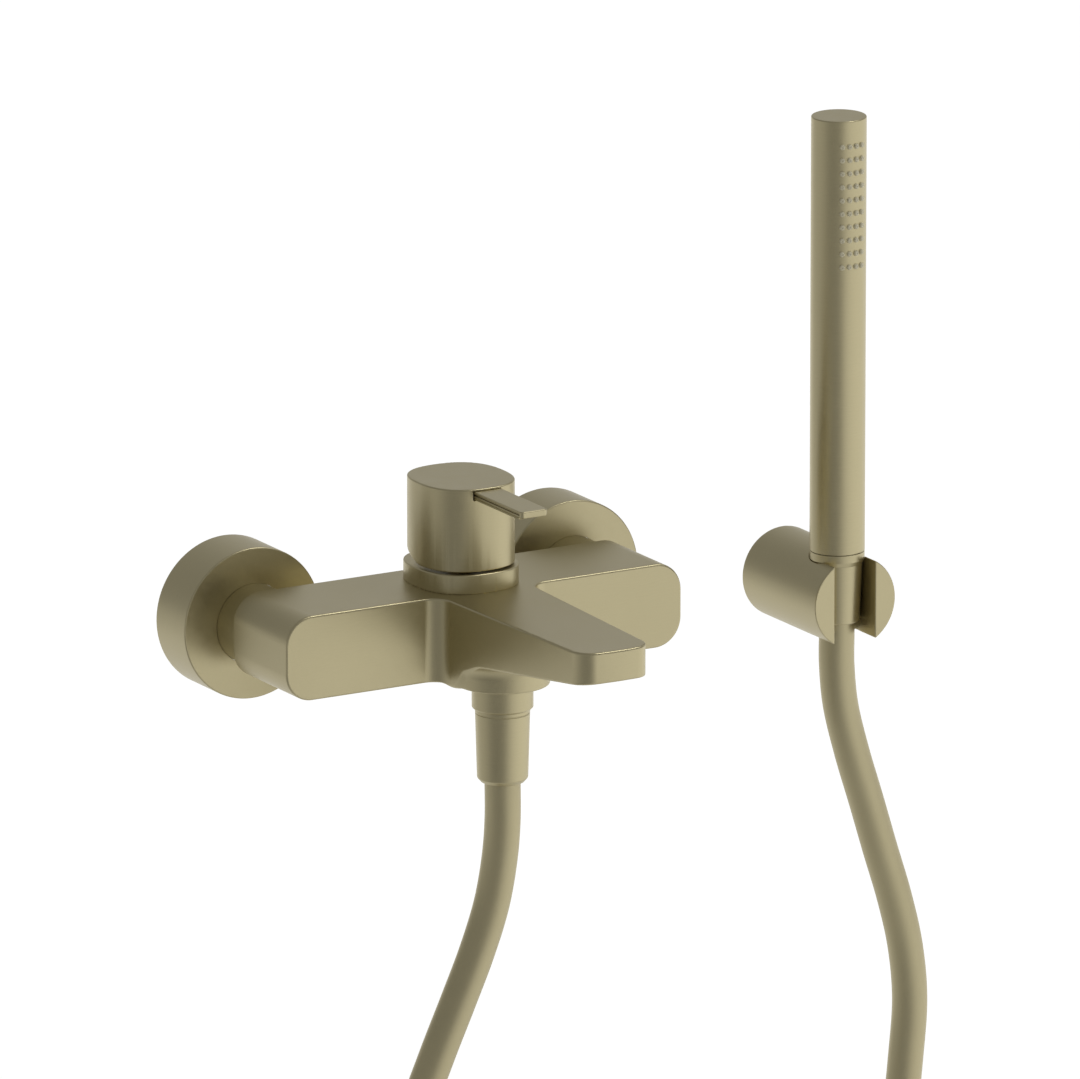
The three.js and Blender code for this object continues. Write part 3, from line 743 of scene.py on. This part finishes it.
HOSE_RADIUS = 7.4
HOSE_ROUTE = [
    [0, -97.5, -50.5], [0, -97.5, -60], [0, -97.5, -75], [-1.2, -97.5, -90], [-5, -97.4, -110],
    [-11.8, -97, -130], [-20, -96, -150], [-29.5, -94.5, -173], [-41, -92, -205], [-52, -89, -254.7],
    [-57, -85.5, -315.5], [-54, -82, -381.8], [-42, -78.5, -448.1], [-19, -75, -511.1],
    [17, -71, -564.1], [64, -67, -594], [114, -63, -588.4], [157, -59.5, -549.8], [184, -56.5, -494.5],
    [197, -54, -431.5], [203.5, -51.5, -365.2], [211, -49, -304.4], [219.5, -46.5, -254.7],
    [224, -45, -223.8], [226.2, -44.5, -198], [224, -44.3, -175], [218.6, -44.3, -153],
    [211.5, -44.3, -131], [204.6, -44.3, -109], [197.5, -44.3, -87], [192, -44.3, -66],
    [190.1, -44.3, -48], [190.1, -44.3, -36], [190.1, -44.3, -26.5],
]


def smooth_line(route, per_piece=9):
    """Points on the smooth curve through a route, with centripetal spacing."""
    p = np.array(route, float)
    p = np.concatenate([[2 * p[0] - p[1]], p, [2 * p[-1] - p[-2]]])
    line = []
    for i in range(1, len(p) - 2):
        a, b, c, d = p[i - 1 : i + 3]
        ta, tb, tc = (np.linalg.norm(v) ** 0.5 for v in (b - a, c - b, d - c))
        leave = ((b - a) / ta - (c - a) / (ta + tb) + (c - b) / tb) * tb
        arrive = ((c - b) / tb - (d - b) / (tb + tc) + (d - c) / tc) * tb
        for t in np.arange(per_piece) / per_piece:
            line.append(
                (2 * t**3 - 3 * t**2 + 1) * b + (t**3 - 2 * t**2 + t) * leave
                + (3 * t**2 - 2 * t**3) * c + (t**3 - t**2) * arrive
            )
    line.append(p[-2])
    return np.array(line)


def sweep(line, radius, sides=32):
    """A round rod along a line, with flat ends."""
    ahead = np.gradient(line, axis=0)
    ahead /= np.linalg.norm(ahead, axis=1)[:, None]
    across = np.array([1.0, 0, 0])
    points, normals, faces = [], [], []
    for place, t in zip(line, ahead):
        across = unit(across - t * np.dot(across, t))
        other = np.cross(t, across)
        for k in range(sides):
            angle = 2 * math.pi * k / sides
            normal = across * math.cos(angle) + other * math.sin(angle)
            points.append(place + radius * normal)
            normals.append(normal)
    for row in range(len(line) - 1):
        here, above = row * sides, (row + 1) * sides
        for k in range(sides):
            m = (k + 1) % sides
            faces.append([here + k, here + m, above + m, above + k])
    for row, t in ((0, -ahead[0]), (len(line) - 1, ahead[-1])):
        rim = len(points)
        points += [points[row * sides + k] for k in range(sides)]
        normals += [t] * sides
        ring = list(range(rim, rim + sides))
        faces.append(ring if row else ring[::-1])
    return np.array(points), faces, np.array(normals)


hose_line = smooth_line(HOSE_ROUTE)
hose = new_piece("shower_hose_fine", sweep(hose_line, HOSE_RADIUS), hose_skin)
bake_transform(hose)
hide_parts("shower_hose")

# ---------------------------------------------------------------- diverter spring


SPRING_WIDE, SPRING_NARROW, SPRING_BOTTOM, SPRING_HEIGHT, WIRE_RADIUS = 4.6, 2.4, 8.9, 3.8, 0.28


def cone_helix(turns=3, steps=96):
    """The centre line of a conical wire spring, narrower at the top."""
    share = np.linspace(0, 1, steps + 1)
    angle = 2 * math.pi * turns * share
    radius = SPRING_WIDE + (SPRING_NARROW - SPRING_WIDE) * share
    height = SPRING_BOTTOM + SPRING_HEIGHT * share
    return np.stack([radius * np.cos(angle), OUTLET_Y + radius * np.sin(angle), height], 1)


spring = add_piece(
    "diverter_spring_fine", sweep(cone_helix(), WIRE_RADIUS, 10),
    steel, "steel", "mixer", "diverter_spring",
)
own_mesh(spring)

# ---------------------------------------------------------------- handset

HANDSET_X, HANDSET_Y = 190.1, -44.3
TUBE_RADIUS, TUBE_BORE, TUBE_BOTTOM, TUBE_TOP, TUBE_LID = 11.45, 9.8, 0.6, 184.9, 1.7
NOZZLE_COLUMNS = (-23.4, -7.8, 7.8, 23.4)  # degrees from the handset's front
NOZZLE_ROWS, NOZZLE_FIRST, NOZZLE_PITCH = 10, 123.2, 5.66

under_lid = TUBE_TOP - TUBE_LID
tube_outline = [
    [TUBE_BORE, TUBE_BOTTOM], [TUBE_RADIUS, TUBE_BOTTOM], [TUBE_RADIUS, TUBE_TOP],
    [0.1, TUBE_TOP], [0.1, under_lid], [TUBE_BORE, under_lid],
]
tube_shape = lathe(tube_outline, [0.2, 0.2, 0.5, 0.01, 0.01, 0.2], 128)
add_piece(
    "handset_tube_fine", moved(tube_shape, HANDSET_X, HANDSET_Y),
    satin_round, "satin_finish", "handset", "handset_tube",
)


def nozzle_pegs():
    """Soft conical pegs on the handset's front, each with a fine water hole in its tip."""
    outline = [[0, 10.2], [1.15, 10.2], [1.15, 11.75], [0.85, 12.4], [0.2, 12.4], [0.2, 12.2], [0, 12.2]]
    peg = out_of_wall(lathe(outline, [0, 0.05, 0.4, 0.45, 0.05, 0.05, 0], 20, 4))
    return together(*(
        moved(turned(peg, "Z", column), HANDSET_X, HANDSET_Y, NOZZLE_FIRST + NOZZLE_PITCH * row)
        for column in NOZZLE_COLUMNS
        for row in range(NOZZLE_ROWS)
    ))


add_piece("nozzle_strip_fine", nozzle_pegs(), silicone, "silicone", "handset", "nozzle_strip")
base = [
    [5, -22], [8.3, -22], [8.3, -4.66], [10.55, -4.66], [11.4, -2.9], [11.4, 0.4], [9.5, 0.3], [9.5, 4.8],
    [8.3, 4.8], [8.3, 6.6], [9.5, 6.6], [9.5, 9], [5, 9],
]
base_shape = lathe(base, [0.2, 0.2, 0.1, 0.03, 0.3, 0.2] + [0.2] * 7, 96)
add_piece(
    "handset_base_fine", moved(base_shape, HANDSET_X, HANDSET_Y),
    satin_round, "satin_finish", "handset", "handset_base",
)
cone_nut = [
    [8.6, -4.7], [8.6, -26.2], [7.7, -26.2], [7.7, -29.6], [9.1, -29.6], [9.45, -29.2], [10.5, -4.7],
]
nut_shape = lathe(cone_nut, [0.1, 0.2, 0.2, 0.2, 0.2, 0.2, 0.03], 96)
add_piece(
    "handset_cone_nut_fine", moved(nut_shape, HANDSET_X, HANDSET_Y),
    satin_round, "satin_finish", "handset", "handset_cone_nut",
)

# ---------------------------------------------------------------- wall bracket

BRACKET_Z, BRACKET_RADIUS, BRACKET_REACH = -19, 19.25, 59
SLOT_HALF = 9.77
CRADLE_TOP, CRADLE_RADIUS, CRADLE_TAPER = -4.8, 10.72, 1.05 / 40.2
SEAT_SLOPE, SEAT_DEPTH = 0.483, 0.8


def bracket_field(x, y, z):
    """A barrel out of the wall, with a tapering upright cradle, a chamfered seat and a slot in front."""
    across = x - HANDSET_X
    from_axis = np.hypot(across, z - BRACKET_Z)
    barrel = both(from_axis - BRACKET_RADIUS, between(y, -BRACKET_REACH, 0), 0.3)
    away = np.hypot(across, y - HANDSET_Y)
    cone = away - (CRADLE_RADIUS + CRADLE_TAPER * (z - CRADLE_TOP))
    chamfer = CRADLE_RADIUS + SEAT_SLOPE * (z + 4.66)
    seat = away - np.clip(chamfer, CRADLE_RADIUS, CRADLE_RADIUS + SEAT_DEPTH)
    seat = both(seat / math.hypot(1, SEAT_SLOPE), CRADLE_TOP - z)
    cradle = np.minimum(cone / math.hypot(1, CRADLE_TAPER), seat)
    slot = both(np.abs(across) - SLOT_HALF, y - HANDSET_Y)
    recess = both(from_axis - 14.3, -11.6 - y)
    screw = both(np.hypot(across, y + 6) - 2.3, z + 30)
    for hole, edge in ((np.minimum(cradle, slot), 0.3), (recess, 0.4), (screw, 0.2)):
        barrel = without(barrel, hole, edge)
    return barrel


add_piece(
    "bracket_body_fine", solid(bracket_field, (170, -60, -39), (210.2, 1, 1), 0.42),
    satin_cover, "satin_finish", "mixer", "bracket_body",
)

# ---------------------------------------------------------------- room and light


def light_panel(name, place, target, size, power):
    data = bpy.data.lights.new(name, "AREA")
    data.shape = "RECTANGLE"
    data.size, data.size_y = size
    data.energy = power
    panel = bpy.data.objects.new(name, data)
    panel.location = place
    aim = bpy.data.objects.new(f"{name}_aim", None)
    aim.location = target
    for made in (panel, aim):
        bpy.context.scene.collection.objects.link(made)
    track = panel.constraints.new("TRACK_TO")
    track.target = aim
    track.track_axis, track.up_axis = "TRACK_NEGATIVE_Z", "UP_Y"


FLOOR_HALF, FLOOR_HEIGHT = 30, -0.7  # in metres, as everything in this section
PAINTED_FLOOR_GLOW = 0.82  # the floor's painted glow, which lights the object from below; painted shade makes it weaker on the left and front left, and a painted shadow darkens it below the object
PAINTED_FLOOR_SHADES = (
    # painted shade in the floor's glow: on the left, towards the front left, and a painted shadow below the
    # object
    {"measure": "DOT_PRODUCT", "other": (-1, 0, 0), "start": -0.2, "end": 1.6, "depth": 0.45},
    {"measure": "DISTANCE", "other": (-1.5, -2.1, FLOOR_HEIGHT), "start": 3.1, "end": 0.7, "depth": 0.5},
    {"measure": "DISTANCE", "other": (0, 0, FLOOR_HEIGHT), "start": 2.0, "end": 0.4, "depth": 0.33},
)
OPEN_BACK = (0.45, 0.8, -0.4)  # the side of the room that is a little brighter


def ramped(nodes, links, value, start, end, low, high):
    """A smooth change from low to high while a value goes from start to end."""
    ramp = nodes.new("ShaderNodeMapRange")
    ramp.interpolation_type = "SMOOTHSTEP"
    for socket, number in zip(("From Min", "From Max", "To Min", "To Max"), (start, end, low, high)):
        ramp.inputs[socket].default_value = number
    links.new(value, ramp.inputs["Value"])
    return ramp.outputs["Result"]


def measured(nodes, links, vector, operation, other):
    """How far a vector reaches along another (DOT_PRODUCT), or its distance from a point (DISTANCE)."""
    node = nodes.new("ShaderNodeVectorMath")
    node.operation = operation
    node.inputs[1].default_value = other
    links.new(vector, node.inputs[0])
    return node.outputs["Value"]


def painted_floor_glow(nodes, links):
    """The floor's painted glow, less the painted shade that each shade takes away at a place."""
    place = nodes.new("ShaderNodeNewGeometry").outputs["Position"]
    glow = None
    for shade in PAINTED_FLOOR_SHADES:
        value = measured(nodes, links, place, shade["measure"], shade["other"])
        loss = ramped(nodes, links, value, shade["start"], shade["end"], 0, shade["depth"])
        rest = nodes.new("ShaderNodeMath")
        rest.operation = "SUBTRACT"
        rest.use_clamp = True
        rest.inputs[0].default_value = PAINTED_FLOOR_GLOW
        if glow:
            links.new(glow, rest.inputs[0])
        links.new(loss, rest.inputs[1])
        glow = rest.outputs[0]
    return glow


def pale_floor():
    """A wide floor under the object, which fills the view and with its painted glow gives most of the light
    from below.
    """
    mesh = bpy.data.meshes.new("floor")
    square = ((-1, -1), (1, -1), (1, 1), (-1, 1))
    corners = [(x * FLOOR_HALF, y * FLOOR_HALF, FLOOR_HEIGHT) for x, y in square]
    mesh.from_pydata(corners, [], [(0, 1, 2, 3)])
    floor = bpy.data.objects.new("floor", mesh)
    bpy.context.scene.collection.objects.link(floor)
    pale, nodes, links, shader = new_material("pale_floor")
    tone = spread(nodes, links, noise(nodes, links, 3, (1, 1, 1), 2.0), 0, 1)
    links.new(tinted(nodes, links, tone, (0.6, 0.6, 0.6), (0.62, 0.62, 0.62)), shader.inputs["Base Color"])
    shader.inputs["Roughness"].default_value = 0.9
    shader.inputs["Emission Color"].default_value = (1, 1, 1, 1)
    links.new(painted_floor_glow(nodes, links), shader.inputs["Emission Strength"])
    mesh.materials.append(pale)


def soft_room():
    """Soft light from all around, a little stronger from the open back of the room."""
    world = bpy.data.worlds.new("soft_room")
    world.use_nodes = True
    nodes, links = world.node_tree.nodes, world.node_tree.links
    toward = nodes.new("ShaderNodeTexCoord").outputs["Generated"]
    backward = measured(nodes, links, toward, "DOT_PRODUCT", OPEN_BACK)
    sky = ramped(nodes, links, backward, 0.2, 0.9, 0.27, 0.58)
    links.new(sky, nodes["Background"].inputs["Strength"])
    nodes["Background"].inputs["Color"].default_value = (1, 1, 1, 1)
    bpy.context.scene.world = world


pale_floor()
soft_room()
light_panel("top_softbox", (1.45, -0.8, 2.5), (0.05, -0.1, 0), (1.2, 1.2), 21)
bpy.context.scene.view_settings.view_transform = "Standard"

bpy.context.view_layer.update()
